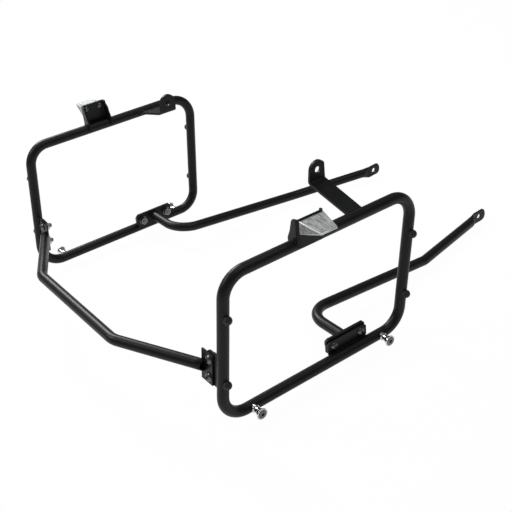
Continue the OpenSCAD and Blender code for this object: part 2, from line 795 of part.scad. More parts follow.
module crossbar_nuts_left() { color(zinc) left() crossbar_nuts(); }
module strut_right() { color(black) right() strut(strut_eye_rise_right); }
module strut_left() { color(black) left() strut(strut_eye_rise_left); }
module strut_plate_right() { color(black) right() strut_plate(); }
module strut_plate_left() { color(black) left() strut_plate(); }
module strut_bolts_right() { color(dark_steel) right() strut_bolts(); }
module strut_bolts_left() { color(dark_steel) left() strut_bolts(); }
module strut_nuts_right() { color(zinc) right() strut_nuts(); }
module strut_nuts_left() { color(zinc) left() strut_nuts(); }
module spool_rear_right() { color(chrome) right() spool(spool_rear); }
module spool_front_right() { color(chrome) right() spool(spool_front); }
module spool_rear_left() { color(chrome) left() spool(spool_rear); }
module spool_front_left() { color(chrome) left() spool(spool_front); }
module spool_screw_rear_right() { color(dark_steel) right() spool_screw(spool_rear); }
module spool_screw_front_right() { color(dark_steel) right() spool_screw(spool_front); }
module spool_screw_rear_left() { color(dark_steel) left() spool_screw(spool_rear); }
module spool_screw_front_left() { color(dark_steel) left() spool_screw(spool_front); }
module button_rear_low_right() { color(rubber) right() button(button_rear_low); }
module button_rear_high_right() { color(rubber) right() button(button_rear_high); }
module button_front_low_right() { color(rubber) right() button(button_front_low); }
module button_front_high_right() { color(rubber) right() button(button_front_high); }
module button_rear_low_left() { color(rubber) left() button(button_rear_low); }
module button_rear_high_left() { color(rubber) left() button(button_rear_high); }
module button_front_low_left() { color(rubber) left() button(button_front_low); }
module button_front_high_left() { color(rubber) left() button(button_front_high); }

hoop_right();
hoop_left();
rear_lug_right();
rear_lug_left();
foot_lug_right();
foot_lug_left();
strap_bracket_right();
strap_bracket_left();
hook_bracket_right();
hook_bracket_left();
hook_wedge_right();
hook_wedge_left();
hook_screws_right();
hook_screws_left();
rear_crossbar();
crossbar_plate_right();
crossbar_plate_left();
crossbar_bolts_right();
crossbar_bolts_left();
crossbar_nuts_right();
crossbar_nuts_left();
strut_right();
strut_left();
strut_plate_right();
strut_plate_left();
strut_bolts_right();
strut_bolts_left();
strut_nuts_right();
strut_nuts_left();
spool_rear_right();
spool_front_right();
spool_rear_left();
spool_front_left();
spool_screw_rear_right();
spool_screw_front_right();
spool_screw_rear_left();
spool_screw_front_left();
button_rear_low_right();
button_rear_high_right();
button_front_low_right();
button_front_high_right();
button_rear_low_left();
button_rear_high_left();
button_front_low_left();
button_front_high_left();
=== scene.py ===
"""A motorbike pannier frame, dressed for its picture.

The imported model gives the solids. The bent tubes, weld beads and threads are made here, every
node gets its real finish, and the last operator sets up the studio. Blender works in metres;
the named places below are in millimetres, as on a drawing.
"""

import math

import bmesh
import bpy
from bpy.props import FloatProperty, FloatVectorProperty, PointerProperty
from mathutils import Matrix, Vector


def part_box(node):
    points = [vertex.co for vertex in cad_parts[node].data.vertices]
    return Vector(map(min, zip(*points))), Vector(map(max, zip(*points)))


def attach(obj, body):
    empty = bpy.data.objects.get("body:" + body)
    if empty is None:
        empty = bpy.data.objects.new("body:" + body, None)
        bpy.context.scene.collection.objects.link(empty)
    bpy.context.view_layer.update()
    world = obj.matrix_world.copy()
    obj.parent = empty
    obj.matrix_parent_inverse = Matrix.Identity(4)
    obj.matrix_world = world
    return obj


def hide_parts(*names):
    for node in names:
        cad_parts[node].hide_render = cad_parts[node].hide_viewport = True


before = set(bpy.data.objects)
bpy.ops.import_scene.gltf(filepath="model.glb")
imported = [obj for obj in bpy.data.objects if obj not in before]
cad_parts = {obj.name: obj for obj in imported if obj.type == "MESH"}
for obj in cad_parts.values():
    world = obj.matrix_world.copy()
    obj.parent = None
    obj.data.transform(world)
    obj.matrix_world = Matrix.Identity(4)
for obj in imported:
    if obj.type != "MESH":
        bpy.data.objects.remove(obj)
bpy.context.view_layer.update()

bl_info = {
    "name": "Pannier frame",
    "version": (1, 0, 0),
    "blender": (4, 5, 0),
    "location": "View3D > Sidebar > Pannier frame",
    "description": "Dresses a motorbike pannier frame and sets up its studio",
    "category": "Object",
}

MM = 0.001
SIDES = {"right": 1, "left": -1}  # the sign of X on each side of the motorbike
X, Y, Z = Vector((1, 0, 0)), Vector((0, 1, 0)), Vector((0, 0, 1))
MIRROR = Matrix.Scale(-1, 4, X)
SHARP = math.radians(32)  # an edge that turns more than this is rounded, or stays crisp
TOUCH = 1e-6  # points closer than this are one point

# The rear joints. Their own axes start behind the rear leg's centre line: X points outward,
# Y forward through the plates and Z up the leg
JOINT_RISE = 77.7  # above the lower rail's centre line
JOINT_BACK = 1.0  # behind the leg's centre line
PLATE_BACK = 3.0  # rear face of the crossbar's plate, where the arm lies
ARM_END = 39.0  # cut end of an arm, in from the leg
ARM_NOTCH = 49.0  # inner end of the arm's notch, in from the leg
ARM_SPARE = 60.0  # what each arm has beyond its cut end before it is cut
BOLT_IN = 29.5  # rear bolts, in from the leg
BOLT_RISE = 15.0  # each bolt above or below the middle of the joint
THREAD_START = 9.6  # where the thread that shows begins
THREAD_TURNS = 3
THREAD_CORE, THREAD_ROOT, THREAD_CREST = 3.9, 4.0, 4.22  # radii of an M8 thread as it shows

# The struts, from the middle of a hoop at the height of its lower rail
STUB_Y = 58.0  # strut joint, forward of the hoop's middle
STUB_IN = 14.0  # strut's end, in from the rail's centre line
STUB_RISE = 19.0  # strut's end, above the rail's centre line
STUB_RUN = 94.0  # from the strut's end to its first bend
STRUT_BEND = (191, 343.5, -7.3)  # corner of the second bend
EYES = {"right": (150, 537, -7.0), "left": (150, 537, -2.8)}  # centre of each eye's hole

# The flat eye at the end of a strut, measured from the centre of its hole
EYE_TILT = math.radians(4)
EYE_START = 31.0  # where the tube starts to flatten
EYE_FOLD = 13.0  # where it is flat
EYE_REACH = 16.5  # its tip
EYE_HALF = 12.5  # half its height
EYE_CORNER = 8.75  # radius of the corners of its tip
EYE_FLAT = 2.0  # half its thickness
EYE_HOLE = 5.25  # radius of its hole
EYE_STEPS = 12  # rings along the taper, and round the tip
EYE_SQUARE = 0.35  # power that spreads the round section into a slab: 1 would keep it round

# The hook brackets, from the middle of a hoop
HOOK_Y = -17.0
HOOK_HALF = 24.5  # half the bracket's length

# The weld beads. The ripple and the tip are shares of the bead's radius
BEAD_RIPPLE = 0.14  # depth of a ripple
BEAD_TIP = 0.35  # radius at each end
BEAD_RAMP = 1.4  # an end grows by its radius over this many radii
BEAD_RINGS = 4  # rings in each ripple

# The camera was placed by fitting the model to the picture
CAMERA_SPOT = (1167.957, -821.682, 875.185)
CAMERA_TURN, CAMERA_RISE, CAMERA_ROLL = 56.22915, 30.60616, -6.05486  # degrees
CAMERA_LENS = 885.4523  # in pixels of the picture
PICTURE = 512  # pixels on a side
SENSOR = 36  # width of the sensor

# Name, place, size and power of each soft lamp, in metres and watts
LAMPS = (
    ("Key lamp", (-2.0, 0.0, 1.85), 1.0, 60.0),
    ("Side lamp", (-1.15, -1.75, 1.9), 0.9, 22.0),
    ("Top lamp", (0.9, 0.3, 2.9), 2.0, 20.0),
)
LAMP_AIM = Vector((0, 0, 0.12))  # the middle of the frame
FLOOR_HALF = 6.0
FLOOR_WHITE = 0.975  # share of the floor's look that is its own white
FLOOR_GLOSS = 0.6  # share of that white that highlights see
ROOM_LIGHT = 0.3  # strength of the room where it lights the frame
ROOM_GLOSS = (0.2, 0.18)  # and where highlights see it, from low on the walls to the ceiling


def linear(code):
    """An sRGB hex value as the linear red, green and blue that the shaders take."""
    values = [int(code[i : i + 2], 16) / 255 for i in (1, 3, 5)]
    return tuple(v / 12.92 if v <= 0.04045 else ((v + 0.055) / 1.055) ** 2.4 for v in values)


def length(name, about, value):
    """A length property, given in millimetres."""
    return FloatProperty(
        name=name, description=about, default=value * MM, unit="LENGTH", precision=5
    )


def angle(name, about, value):
    """An angle property, given in degrees."""
    return FloatProperty(name=name, description=about, default=math.radians(value), subtype="ANGLE")


def colour(name, about, code):
    """A colour property, given as an sRGB hex value."""
    return FloatVectorProperty(
        name=name, description=about, default=linear(code), subtype="COLOR", size=3, min=0, max=1
    )


class PANNIER_PG_tubes(bpy.types.PropertyGroup):
    """Sizes of the bent tubes"""

    tube_d: length("Tube", "Outer diameter of every tube", 18)
    wall: length("Wall", "Wall of every tube", 2)
    hoop_len: length("Rail length", "From corner to corner of a hoop's centre line", 351.7)
    hoop_h: length("Hoop height", "Between the centre lines of the two rails", 235.8)
    hoop_span: length("Span", "Between the centre lines of the two lower rails", 612.5)
    lean: angle("Lean", "Forward lean of the legs", 6.8)
    camber: angle("Camber", "Outward lean of each hoop", 1.17)
    hoop_bend: length("Hoop bend", "Bend radius of the hoop corners", 38)
    bar_mid: length("Crossbar middle", "Straight middle of the crossbar, bend to bend", 252.7)
    bar_back: length("Crossbar depth", "How far its middle lies behind the joints", 76)
    bar_end_back: length("Arm end depth", "How far the arm ends lie behind the leg", 4.5)
    bar_rise: length("Crossbar rise", "Height of its middle above the joints", 8.5)
    bar_end_rise: length("Arm end rise", "Height of the arm ends above the joints", 1.2)
    bar_bend: length("Crossbar bend", "Bend radius of the crossbar", 40)
    strut_bend: length("Strut bend", "Bend radius of the struts", 45)


class PANNIER_PG_details(bpy.types.PropertyGroup):
    """Sizes of the small details"""

    edge: length("Edge rounding", "Rounding of the edges of sheet and turned pieces", 0.4)
    bevel: length("Wedge edge", "Width of the bright edges of the wedges", 1.2)
    bead: length("Weld bead", "Radius of a weld bead", 1.7)
    ripple: length("Weld ripple", "Distance between the ripples of a bead", 1.6)
    pitch: length("Thread pitch", "Pitch of the M8 bolt threads", 1.25)
    cloud: length("Coat clouds", "Size of the soft clouds in the powder coat", 22)
    grain: length("Grain width", "Width of the brushed lines on the wedges", 1.0)


class PANNIER_PG_colours(bpy.types.PropertyGroup):
    """Colours of the finishes"""

    coat: colour("Powder coat", "Satin black powder coat of the tubes and plates", "#151617")
    aluminium: colour("Aluminium", "Brushed aluminium of the wedges", "#a9abab")
    chrome: colour("Chrome", "Polished chrome plate of the spools", "#dcdddf")
    zinc: colour("Zinc", "Bright zinc plate of the nuts and washers", "#cbc8c0")
    oxide: colour("Black oxide", "Black oxide of the bolts and screws", "#646464")
    rubber: colour("Rubber", "Moulded rubber of the buttons", "#161617")


# Nodes and materials


def add_node(tree, kind, settings=None, links=None):
    """Adds one shader node: settings fill its properties and sockets, links join its inputs.
    Both take a socket by its name, or by its number where several share a name."""
    node = tree.nodes.new(kind)
    for name, value in (settings or {}).items():
        if isinstance(name, int) or name in node.inputs:
            node.inputs[name].default_value = value
        else:
            setattr(node, name, value)
    for name, output in (links or {}).items():
        tree.links.new(output, node.inputs[name])
    return node


def new_finish(name, sockets):
    """A material with one Principled shader. Returns it, its tree, its shader and its place."""
    material = bpy.data.materials.new(name)
    material.use_nodes = True
    tree = material.node_tree
    tree.nodes.clear()
    shader = add_node(tree, "ShaderNodeBsdfPrincipled", sockets)
    add_node(tree, "ShaderNodeOutputMaterial", links={"Surface": shader.outputs["BSDF"]})
    place = add_node(tree, "ShaderNodeTexCoord").outputs["Object"]
    return material, tree, shader, place


def arithmetic(tree, operation, first, second):
    """One step of arithmetic on a node's output and a second output or a number."""
    settings, links = {"operation": operation}, {0: first}
    if isinstance(second, float):
        settings[1] = second
    else:
        links[1] = second
    return add_node(tree, "ShaderNodeMath", settings, links).outputs["Value"]


def mix_shaders(tree, factor, first, second):
    """Mixes two shaders: the first where the factor is 0, the second where it is 1."""
    links = {"Fac": factor, 1: first, 2: second}
    return add_node(tree, "ShaderNodeMixShader", links=links).outputs["Shader"]


def noise(tree, place, scale, detail):
    """A cloudy noise over a place, about 0 to 1. The scale is in clouds a metre."""
    settings = {"Scale": scale, "Detail": detail}
    return add_node(tree, "ShaderNodeTexNoise", settings, {"Vector": place}).outputs["Fac"]


def stretched(tree, place, scale, detail):
    """The same noise with its own scale along each axis."""
    lines = add_node(tree, "ShaderNodeMapping", {"Scale": scale}, {"Vector": place})
    return noise(tree, lines.outputs["Vector"], 1.0, detail)


def tint(tree, shader, factor, dark, light):
    """Lets a factor run the base colour from a dark to a light tone."""
    mix = add_node(tree, "ShaderNodeMix", {"data_type": "RGBA"}, {"Factor": factor})
    mix.inputs["A"].default_value = (*dark, 1)
    mix.inputs["B"].default_value = (*light, 1)
    tree.links.new(mix.outputs["Result"], shader.inputs["Base Color"])


def polish(tree, shader, factor, smooth, rough):
    """Lets a factor run the roughness from smooth to rough."""
    span = add_node(
        tree, "ShaderNodeMapRange", {"To Min": smooth, "To Max": rough}, {"Value": factor}
    )
    tree.links.new(span.outputs["Result"], shader.inputs["Roughness"])


def relief(tree, shader, factor, strength, height):
    """Lets a factor raise the surface a little."""
    bump = add_node(
        tree, "ShaderNodeBump", {"Strength": strength, "Distance": height}, {"Height": factor}
    )
    tree.links.new(bump.outputs["Normal"], shader.inputs["Normal"])


def shade(rgb, factor):
    """A lighter or darker tone of a colour."""
    return tuple(min(1.0, v * factor) for v in rgb)


def powder_coat():
    """Baked powder over steel: satin and near black. Its gloss and tone drift in soft clouds, so
    that a long tube isn't one even stripe."""
    scene = bpy.context.scene
    material, tree, shader, place = new_finish(
        "Satin black powder coat", {"Specular IOR Level": 0.19, "IOR": 1.5}
    )
    cloud = noise(tree, place, 1 / scene.pannier_details.cloud, 2.0)
    coat = tuple(scene.pannier_colours.coat)
    tint(tree, shader, cloud, shade(coat, 0.8), shade(coat, 1.25))
    polish(tree, shader, cloud, 0.34, 0.42)
    return material


def brushed_aluminium():
    """Extruded aluminium, sawn and brushed outward from the bracket: pale grey with fine
    darker and lighter lines. The real lines are finer, and are drawn wide enough to show."""
    scene = bpy.context.scene
    material, tree, shader, place = new_finish("Brushed aluminium", {"Metallic": 1.0})
    grain = 1 / scene.pannier_details.grain
    fine = stretched(tree, place, (grain / 40, grain, grain), 3.0)
    broad = stretched(tree, place, (grain / 60, grain / 2.5, grain / 2.5), 2.0)
    both = arithmetic(tree, "ADD", fine, broad)
    spread = add_node(
        tree, "ShaderNodeMapRange", {"From Min": 0.75, "From Max": 1.25}, {"Value": both}
    )
    metal = tuple(scene.pannier_colours.aluminium)
    tint(tree, shader, spread.outputs["Result"], shade(metal, 0.55), shade(metal, 1.45))
    polish(tree, shader, fine, 0.6, 0.75)
    relief(tree, shader, fine, 0.1, 0.05 * MM)
    return material


def edge_painted_highlight():
    """Edges of the wedges, cut clean in the finishing pass. Their metal is painted paler than the
    faces, up to white, as a highlight: a bright line along every corner.
    """
    material, tree, shader, place = new_finish("Aluminium edge with painted highlight", {"Metallic": 1.0})
    highlight_tone = noise(tree, place, 900.0, 2.0)
    tint(tree, shader, highlight_tone, linear("#d8d9d9"), linear("#ffffff"))
    polish(tree, shader, highlight_tone, 0.45, 0.55)
    return material


def chrome_plate():
    """Polished chrome on turned steel: a cool mirror, with the faintest turning haze."""
    material, tree, shader, place = new_finish("Polished chrome plate", {"Metallic": 1.0})
    metal = tuple(bpy.context.scene.pannier_colours.chrome)
    haze = noise(tree, place, 260.0, 2.0)
    tint(tree, shader, haze, shade(metal, 0.9), metal)
    polish(tree, shader, haze, 0.07, 0.16)
    return material


def zinc_plate():
    """Bright passivated zinc on the nuts and washers: warm pale grey in small soft clouds."""
    material, tree, shader, place = new_finish("Bright zinc plate", {"Metallic": 1.0})
    metal = tuple(bpy.context.scene.pannier_colours.zinc)
    cloud = noise(tree, place, 420.0, 3.0)
    tint(tree, shader, cloud, shade(metal, 0.72), shade(metal, 1.08))
    polish(tree, shader, cloud, 0.28, 0.45)
    return material


def zinc_in_painted_shade():
    """Zinc of the strut nuts, darkened to dark steel grey as painted shade, with bright glints on
    the upper flats.
    """
    material, tree, shader, place = new_finish("Zinc plate with painted shade", {"Metallic": 1.0})
    cloud = noise(tree, place, 500.0, 3.0)
    tint(tree, shader, cloud, linear("#5c5c5d"), linear("#908f8c"))
    polish(tree, shader, cloud, 0.18, 0.3)
    return material


def black_oxide():
    """Blackened steel of the bolts, oiled: dark, with a tighter highlight than the coat."""
    material, tree, shader, place = new_finish("Black oxide steel", {"Metallic": 1.0})
    metal = tuple(bpy.context.scene.pannier_colours.oxide)
    cloud = noise(tree, place, 600.0, 3.0)
    tint(tree, shader, cloud, shade(metal, 0.7), shade(metal, 1.4))
    polish(tree, shader, cloud, 0.24, 0.34)
    return material


def moulded_rubber():
    """Moulded rubber of the buttons: dull black with a slight bloom and pinhole texture."""
    material, tree, shader, place = new_finish("Moulded rubber", {"Specular IOR Level": 0.4})
    base = tuple(bpy.context.scene.pannier_colours.rubber)
    bloom = noise(tree, place, 300.0, 4.0)
    tint(tree, shader, bloom, shade(base, 0.8), shade(base, 1.5))
    polish(tree, shader, bloom, 0.5, 0.7)
    relief(tree, shader, bloom, 0.2, 0.05 * MM)
    return material


FINISHES = {
    "black_coat": powder_coat,
    "brushed_aluminium": brushed_aluminium,
    # the wedges' edges, painted paler as a highlight
    "painted_highlight_edge": edge_painted_highlight,
    "chrome": chrome_plate,
    "zinc": zinc_plate,
    "black_steel": black_oxide,
    # zinc of the strut nuts, darkened as painted shade
    "zinc_painted_shade": zinc_in_painted_shade,
    "rubber": moulded_rubber,
}


def finish(slot):
    """The material for one of the record's slots, made once."""
    key = "finish_" + slot
    if key not in bpy.context.scene:
        bpy.context.scene[key] = FINISHES[slot]().name
    return bpy.data.materials[bpy.context.scene[key]]


# Shared ways to shape and dress a piece


def smooth_group():
    """A geometry node group that shades smooth, apart from its sharp edges."""
    name = "Smooth by angle"
    if name in bpy.data.node_groups:
        return bpy.data.node_groups[name]
    group = bpy.data.node_groups.new(name, "GeometryNodeTree")
    group.interface.new_socket("Geometry", in_out="INPUT", socket_type="NodeSocketGeometry")
    group.interface.new_socket("Geometry", in_out="OUTPUT", socket_type="NodeSocketGeometry")
    start = add_node(group, "NodeGroupInput")
    edge_angle = add_node(group, "GeometryNodeInputMeshEdgeAngle")
    sharp = add_node(
        group,
        "FunctionNodeCompare",
        {"operation": "GREATER_THAN", 1: SHARP},
        {0: edge_angle.outputs["Unsigned Angle"]},
    )
    smooth = add_node(
        group,
        "GeometryNodeSetShadeSmooth",
        {"domain": "FACE"},
        {"Geometry": start.outputs["Geometry"]},
    )
    split = add_node(
        group,
        "GeometryNodeSetShadeSmooth",
        {"domain": "EDGE", "Shade Smooth": False},
        {"Geometry": smooth.outputs["Geometry"], "Selection": sharp.outputs["Result"]},
    )
    add_node(group, "NodeGroupOutput", links={"Geometry": split.outputs["Geometry"]})
    return group


def smooth_by_angle(piece):
    """Shades a piece smooth, apart from its sharp edges."""
    piece.modifiers.new("Smooth by angle", "NODES").node_group = smooth_group()


def dress(node, slot, edge, edge_slot=None):
    """Gives a model node its finish, soft edges and smooth shading. Its mesh stays as it is.
    Edges with a finish of their own, painted paler as a highlight, are cut flat, so that they catch
    the light as a line."""
    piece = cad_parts[node]
    piece.data.materials.clear()
    piece.data.materials.append(finish(slot))
    if edge_slot:
        piece.data.materials.append(finish(edge_slot))
    weld = piece.modifiers.new("Weld", "WELD")
    weld.merge_threshold = 2 * TOUCH
    flat = piece.modifiers.new("Flat faces", "DECIMATE")
    flat.decimate_type = "DISSOLVE"
    flat.angle_limit = math.radians(0.4)
    soft = piece.modifiers.new("Soft edges", "BEVEL")
    soft.width = edge
    soft.segments = 1 if edge_slot else 2
    soft.limit_method = "ANGLE"
    soft.angle_limit = SHARP
    soft.use_clamp_overlap = not edge_slot
    soft.material = 1 if edge_slot else -1
    smooth_by_angle(piece)
    even = piece.modifiers.new("Even flats", "WEIGHTED_NORMAL")
    even.keep_sharp = True


def pair(name):
    """The two nodes of a pair."""
    return [f"{name}_{side}" for side in SIDES]


def make_piece(bm, name, slot, replaced=()):
    """Turns a bmesh into a finished piece that rides on the frame."""
    bmesh.ops.remove_doubles(bm, verts=bm.verts, dist=TOUCH)
    bmesh.ops.recalc_face_normals(bm, faces=bm.faces)
    mesh = bpy.data.meshes.new(name)
    bm.to_mesh(mesh)
    bm.free()
    mesh.polygons.foreach_set("use_smooth", [True] * len(mesh.polygons))
    mesh.materials.append(finish(slot))
    piece = bpy.data.objects.new(name, mesh)
    bpy.context.scene.collection.objects.link(piece)
    smooth_by_angle(piece)
    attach(piece, "root")
    if replaced:
        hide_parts(*replaced)
    return piece


def cut_away(piece, bm):
    """Takes the solid in a bmesh out of a piece, once and for all."""
    mesh = bpy.data.meshes.new("cutter")
    bm.to_mesh(mesh)
    bm.free()
    cutter = bpy.data.objects.new("cutter", mesh)
    bpy.context.scene.collection.objects.link(cutter)
    piece.modifiers.clear()
    cut = piece.modifiers.new("Cut", "BOOLEAN")
    cut.object = cutter
    cut.operation = "DIFFERENCE"
    cut.solver = "EXACT"
    bpy.context.view_layer.update()
    done = piece.evaluated_get(bpy.context.evaluated_depsgraph_get())
    piece.data = bpy.data.meshes.new_from_object(done)
    piece.modifiers.clear()
    bpy.data.objects.remove(cutter)
    smooth_by_angle(piece)


def facing(along):
    """The turn that takes Z to a direction."""
    return Vector(along).to_track_quat("Z", "Y").to_matrix().to_4x4()


def only(kind, geometry):
    """The vertices or the edges in a mixed list of geometry."""
    return [part for part in geometry if isinstance(part, kind)]


def corners(edges):
    """The vertices at the ends of some edges."""
    return {v for e in edges for v in e.verts}


def ring(bm, centre, along, radius, segments):
    """A circle of edges across a direction."""
    made = bmesh.ops.create_circle(
        bm, segments=segments, radius=radius, matrix=Matrix.Translation(centre) @ facing(along)
    )
    return list({e for v in made["verts"] for e in v.link_edges})


def run_on(bm, edges, shift):
    """Carries a ring of edges straight on, and returns the new ring."""
    made = bmesh.ops.extrude_edge_only(bm, edges=edges)["geom"]
    moved = only(bmesh.types.BMVert, made)
    bmesh.ops.translate(bm, verts=moved, vec=shift)
    return [e for e in only(bmesh.types.BMEdge, made) if set(e.verts) <= set(moved)]


def swing(bm, edges, centre, axis, turn, steps):
    """Carries a ring of edges round a bend, and returns the last ring."""
    made = bmesh.ops.spin(
        bm, geom=edges, cent=centre, axis=axis, angle=turn, steps=steps, use_merge=False
    )
    return only(bmesh.types.BMEdge, made["geom_last"])


def bend_at(a, b, c, radius):
    """Tangent length, centre, axis and angle of the bend at b between a-b and b-c."""
    d, e = (b - a).normalized(), (c - b).normalized()
    turn = d.angle(e)
    axis = d.cross(e).normalized()
    lost = radius * math.tan(turn / 2)
    return lost, b - d * lost + axis.cross(d) * radius, axis, turn


def sweep_tube(bm, points, bend, radius, closed=False, segments=64, steps=28):
    """A tube skin along a line of points with round bends. Returns its first and last rings."""
    count = len(points)
    first = (points[0] + points[1]) / 2 if closed else points[0]
    bends = range(1, count + 1) if closed else range(1, count - 1)
    edges = first_ring = ring(bm, first, points[1] - points[0], radius, segments)
    here = first
    for i in bends:
        a, b, c = points[(i - 1) % count], points[i % count], points[(i + 1) % count]
        lost, centre, axis, turn = bend_at(a, b, c, bend)
        stop = b - (b - a).normalized() * lost
        edges = run_on(bm, edges, stop - here)
        edges = swing(bm, edges, centre, axis, turn, steps)
        here = b + (c - b).normalized() * lost
    return first_ring, run_on(bm, edges, (first if closed else points[-1]) - here)


def turned(bm, profile, spot, along, segments=48):
    """A turned shape: a profile of radius and height spun round a direction at a spot."""
    verts = [bm.verts.new((r, 0, h)) for r, h in profile]
    edges = [bm.edges.new(ends) for ends in zip(verts, verts[1:])]
    made = bmesh.ops.spin(
        bm,
        geom=verts + edges,
        cent=(0, 0, 0),
        axis=Z,
        angle=math.tau,
        steps=segments,
        use_merge=True,
    )
    shape = set(verts) | set(only(bmesh.types.BMVert, made["geom_last"]))
    loose = list(shape)
    while loose:
        for vert in corners(loose.pop().link_edges) - shape:
            shape.add(vert)
            loose.append(vert)
    bmesh.ops.transform(
        bm, matrix=Matrix.Translation(spot) @ facing(along), verts=[v for v in shape if v.is_valid]
    )


def bead(bm, path, radius, ripple, segments=10):
    """A weld bead along a path: a round rope with a ripple for each move of the torch."""
    lengths = [0.0]
    for a, b in zip(path, path[1:]):
        lengths.append(lengths[-1] + (b - a).length)
    total = lengths[-1]
    count = max(6, round(total / ripple * BEAD_RINGS))
    rings = []
    for k in range(count + 1):
        s = total * k / count
        i = max(j for j in range(len(path) - 1) if lengths[j] <= s + 1e-9)
        a, b = path[i], path[i + 1]
        spot = a.lerp(b, (s - lengths[i]) / (b - a).length)
        wave = 1 - BEAD_RIPPLE + BEAD_RIPPLE * abs(math.sin(math.pi * s / ripple))
        ends = min(1.0, BEAD_TIP + min(s, total - s) / (BEAD_RAMP * radius))
        rings.append(ring(bm, spot, b - a, radius * wave * ends, segments))
    for before, after in zip(rings, rings[1:]):
        bmesh.ops.bridge_loops(bm, edges=before + after)
    for end in (rings[0], rings[-1]):
        bmesh.ops.edgeloop_fill(bm, edges=end)


def both_sides(bm):
    """Adds the mirror image of all that a bmesh holds."""
    made = bmesh.ops.duplicate(bm, geom=bm.verts[:] + bm.edges[:] + bm.faces[:])["geom"]
    bmesh.ops.transform(bm, matrix=MIRROR, verts=only(bmesh.types.BMVert, made))


def arc(centre, along, start, radius, sweep, count=24):
    """Points on an arc round a direction, from the start direction on."""
    return [
        centre + Matrix.Rotation(sweep * k / count, 3, along) @ start * radius
        for k in range(count + 1)
    ]


# Places on the frame


def hoop_origin():
    """The middle of the hoops along Y, at the height of the lower rails' centre lines."""
    low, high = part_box("hoop_right")
    return Vector((0, (low.y + high.y) / 2, low.z + bpy.context.scene.pannier_tubes.tube_d / 2))


def hoop_points(sign=1):
    """The corners of a hoop's centre line, the lower rail first. The sign is that of its side."""
    s = bpy.context.scene.pannier_tubes
    shift = s.hoop_h * math.tan(s.lean)
    foot, top = s.hoop_span / 2, s.hoop_span / 2 + s.hoop_h * math.tan(s.camber)
    rear, front = -s.hoop_len / 2 - shift / 2, s.hoop_len / 2 - shift / 2
    flat = [
        (foot, rear, 0),
        (foot, front, 0),
        (top, front + shift, s.hoop_h),
        (top, rear + shift, s.hoop_h),
    ]
    return [hoop_origin() + Vector((sign * x, y, z)) for x, y, z in flat]


def joint_frame():
    """The right rear joint: Z up the leg, Y forward through the plates."""
    s = bpy.context.scene.pannier_tubes
    points = hoop_points()
    leg = (points[3] - points[0]).normalized()
    spot = points[0] + leg * (JOINT_RISE * MM / leg.z)
    tilt = math.atan(math.tan(s.lean) * math.cos(s.camber))
    turn = Matrix.Rotation(s.camber, 4, "Y") @ Matrix.Rotation(-tilt, 4, "X")
    return Matrix.Translation(spot) @ turn @ Matrix.Translation((0, -JOINT_BACK * MM, 0))


# Operators, one for each piece or group of like pieces


class PANNIER_OT_hoops(bpy.types.Operator):
    """Bend both side hoops from round tube"""

    bl_idname = "pannier.hoops"
    bl_label = "Hoops"

    def execute(self, context):
        s = context.scene.pannier_tubes
        for side, sign in SIDES.items():
            bm = bmesh.new()
            sweep_tube(bm, hoop_points(sign), s.hoop_bend, s.tube_d / 2, closed=True)
            make_piece(bm, "hoop_tube_" + side, "black_coat", ["hoop_" + side])
        return {"FINISHED"}


class PANNIER_OT_crossbar(bpy.types.Operator):
    """Bend the crossbar, cope its arms to the plates and dress the plates"""

    bl_idname = "pannier.crossbar"
    bl_label = "Crossbar"

    def execute(self, context):
        s = context.scene.pannier_tubes
        joint = joint_frame()
        spot = joint @ Vector((0, JOINT_BACK * MM, 0))
        bend = Vector((s.bar_mid / 2, spot.y - s.bar_back, spot.z + s.bar_rise))
        tip = spot + Vector((-ARM_END * MM, -s.bar_end_back, s.bar_end_rise))
        end = tip + (tip - bend).normalized() * ARM_SPARE * MM
        bm = bmesh.new()
        sweep_tube(bm, [MIRROR @ end, MIRROR @ bend, bend, end], s.bar_bend, s.tube_d / 2)
        for place in (joint, MIRROR @ joint):
            self.cope(bm, place)
        tube = make_piece(bm, "crossbar_tube", "black_coat", ["rear_crossbar"])
        tube.modifiers.new("Wall", "SOLIDIFY").thickness = s.wall
        for node in pair("crossbar_plate"):
            dress(node, "black_coat", context.scene.pannier_details.edge)
        return {"FINISHED"}

    def cope(self, bm, joint):
        """Cuts an arm off short of the bolts, and notches it where the plate lies against it."""

        def cut(geometry, spot, axis, clear=True):
            """Cuts across an axis of the joint, and clears what lies beyond if asked to."""
            return bmesh.ops.bisect_plane(
                bm,
                geom=geometry,
                dist=TOUCH / 10,
                plane_co=joint @ (Vector(spot) * MM),
                plane_no=joint.to_3x3() @ axis,
                clear_outer=clear,
            )["geom_cut"]

        cut(bm.verts[:] + bm.edges[:] + bm.faces[:], (-ARM_END, 0, 0), X)
        every = bm.verts[:] + bm.edges[:] + bm.faces[:]
        seam = cut(every, (-ARM_NOTCH, 0, 0), X, clear=False)
        bmesh.ops.split_edges(bm, edges=only(bmesh.types.BMEdge, seam))
        local = joint.inverted()
        faces = [f for f in bm.faces if (local @ f.calc_center_median()).x > -ARM_NOTCH * MM]
        edges = {e for f in faces for e in f.edges}
        cut(faces + list(edges) + list(corners(edges)), (0, -PLATE_BACK, 0), Y)
        bmesh.ops.remove_doubles(bm, verts=bm.verts, dist=TOUCH)


